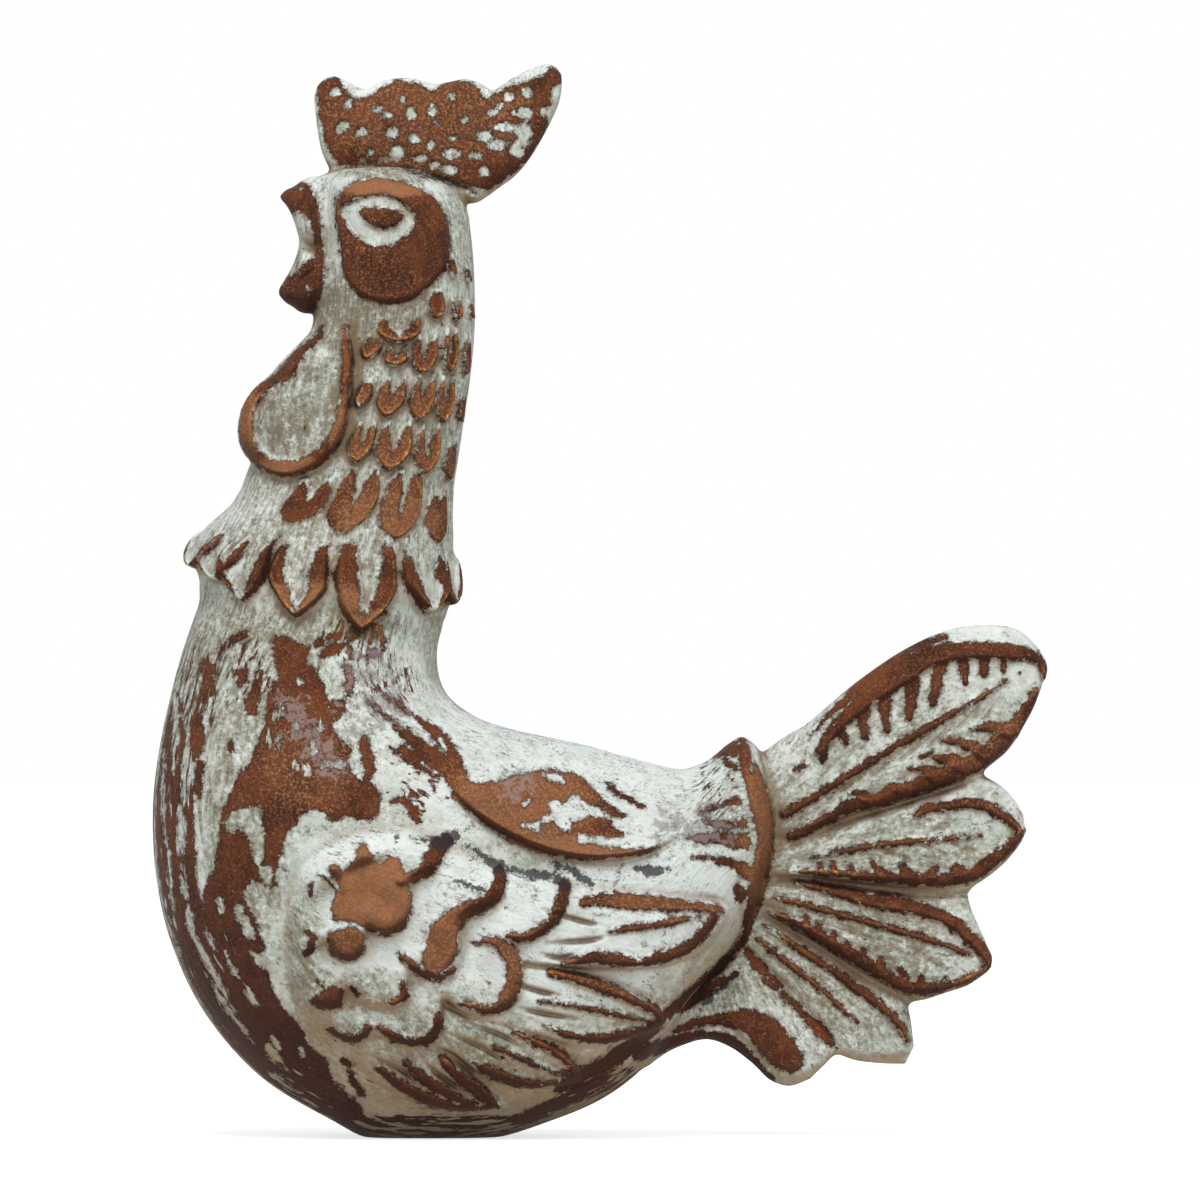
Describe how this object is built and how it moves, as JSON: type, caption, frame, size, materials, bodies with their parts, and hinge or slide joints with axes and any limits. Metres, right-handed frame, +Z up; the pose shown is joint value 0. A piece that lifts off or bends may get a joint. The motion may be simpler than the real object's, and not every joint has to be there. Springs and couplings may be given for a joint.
{
  "type": "ceramic rooster figurine",
  "caption": "Free-standing hollow ceramic rooster ornament with upright comb, layered neck feathers, folded wings and a fanned tail, resting on a flat foot.",
  "frame": {"origin": "centre of the flat foot that the figurine stands on", "axes": "+Z up; the rooster looks along -X, its left side faces -Y and its tail points along +X"},
  "size_m": [0.1786, 0.0706, 0.2147],
  "materials": {
    "washed_glaze": "matt grey-green wash, rubbed back",
    "brown_glaze": "satin brown glaze"
  },
  "bodies": {
    "root": {"body": "washed_glaze", "neck": "washed_glaze", "head": "washed_glaze", "eye_left": "washed_glaze", "eye_right": "washed_glaze", "wing_left": "washed_glaze", "wing_right": "washed_glaze", "saddle": "washed_glaze", "tail_feather_1": "washed_glaze", "tail_feather_2": "washed_glaze", "tail_feather_3": "washed_glaze", "tail_feather_4": "washed_glaze", "comb": "brown_glaze", "upper_beak": "brown_glaze", "lower_beak": "brown_glaze", "cheek_left": "brown_glaze", "cheek_right": "brown_glaze", "wattle_left": "brown_glaze", "wattle_right": "brown_glaze", "hackle_row_1": "brown_glaze", "hackle_row_2": "brown_glaze", "hackle_row_3": "brown_glaze", "hackle_row_4": "brown_glaze", "hackle_row_5": "brown_glaze", "hackle_row_6": "brown_glaze", "neck_ruff": "brown_glaze", "sickle_feather": "brown_glaze"}
  },
  "joints": []
}
